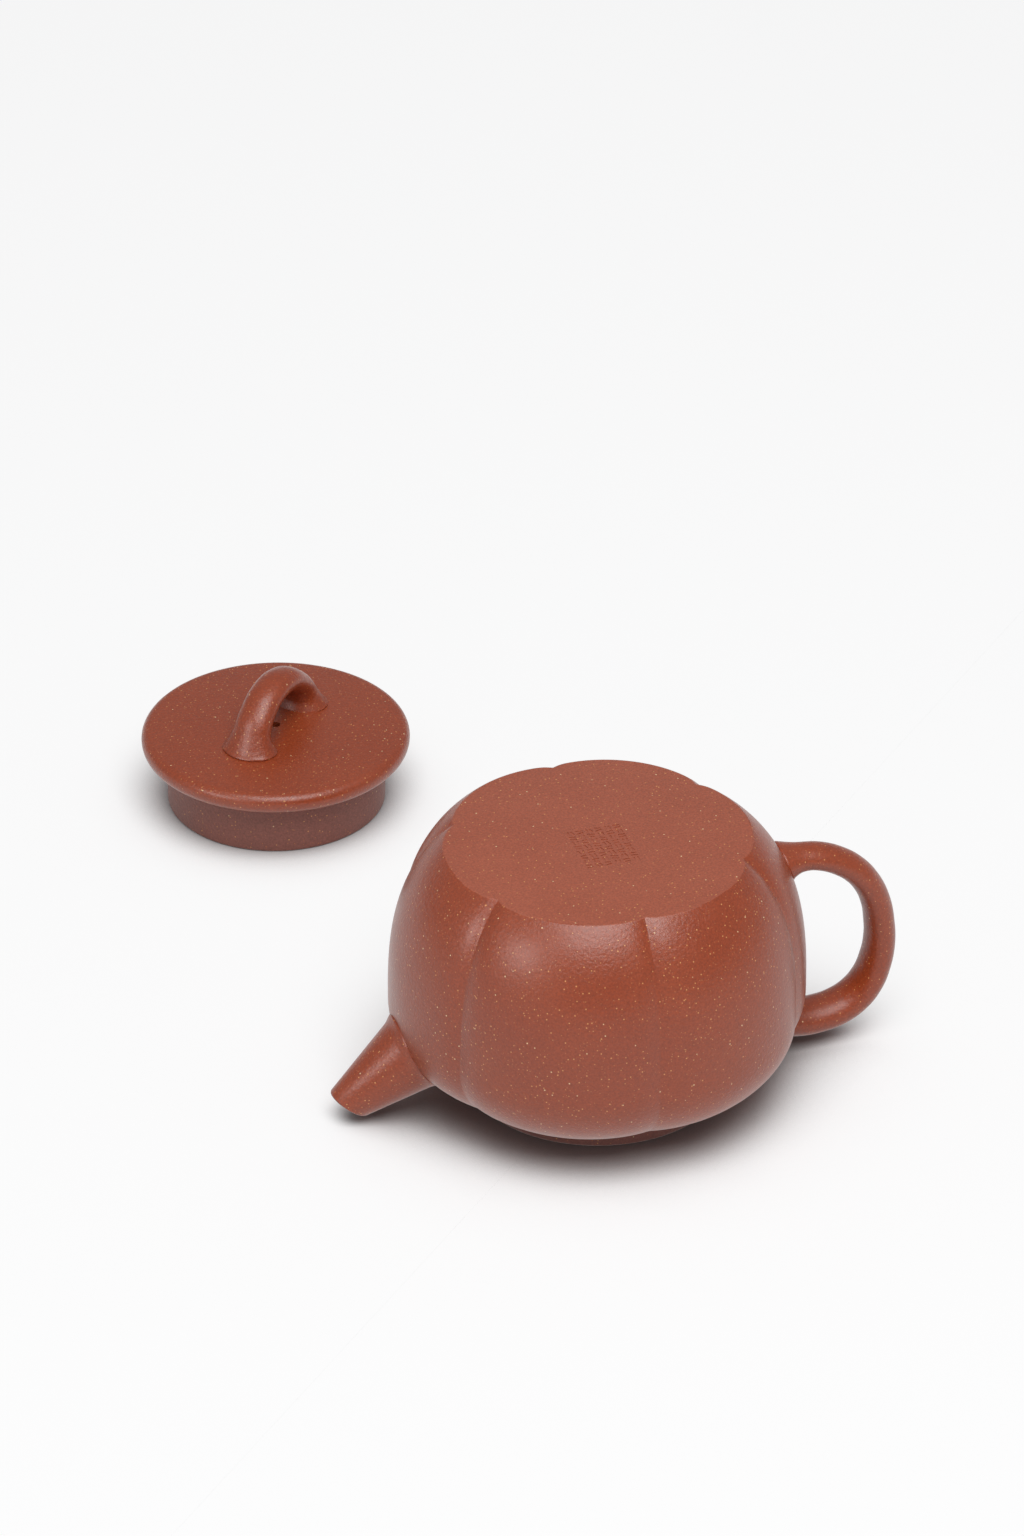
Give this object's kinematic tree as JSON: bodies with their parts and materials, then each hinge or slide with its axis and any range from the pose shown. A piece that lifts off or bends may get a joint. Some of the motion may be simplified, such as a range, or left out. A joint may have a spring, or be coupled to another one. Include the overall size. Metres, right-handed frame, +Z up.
{
  "type": "yixing clay teapot",
  "caption": "Small lobed unglazed clay teapot with a straight spout, loop handle and flanged bridge-knob lid, stood mouth down with its lid beside it.",
  "frame": {"origin": "centre of the mouth's rim, on the surface that the inverted pot stands on", "axes": "+Z up, out of the pot's base and opposite to the way the mouth faces; +X towards the handle, -X towards the spout"},
  "size_m": [0.1323, 0.2061, 0.0595],
  "materials": {
    "red_clay": "unglazed fired clay, fine grain, satin from burnishing"
  },
  "bodies": {
    "pot": {"neck_ring": "red_clay", "shoulder_disc": "red_clay", "belly_wall": "red_clay", "base_disc": "red_clay", "spout": "red_clay", "strainer": "red_clay", "handle": "red_clay"},
    "lid": {"lid_disc": "red_clay", "lid_flange": "red_clay", "lid_knob": "red_clay"}
  },
  "joints": [
    {"name": "lid_lift", "type": "slide", "parent": "pot", "child": "lid", "axis": [0, 0, 1], "range_m": [0, 0.08]}
  ]
}
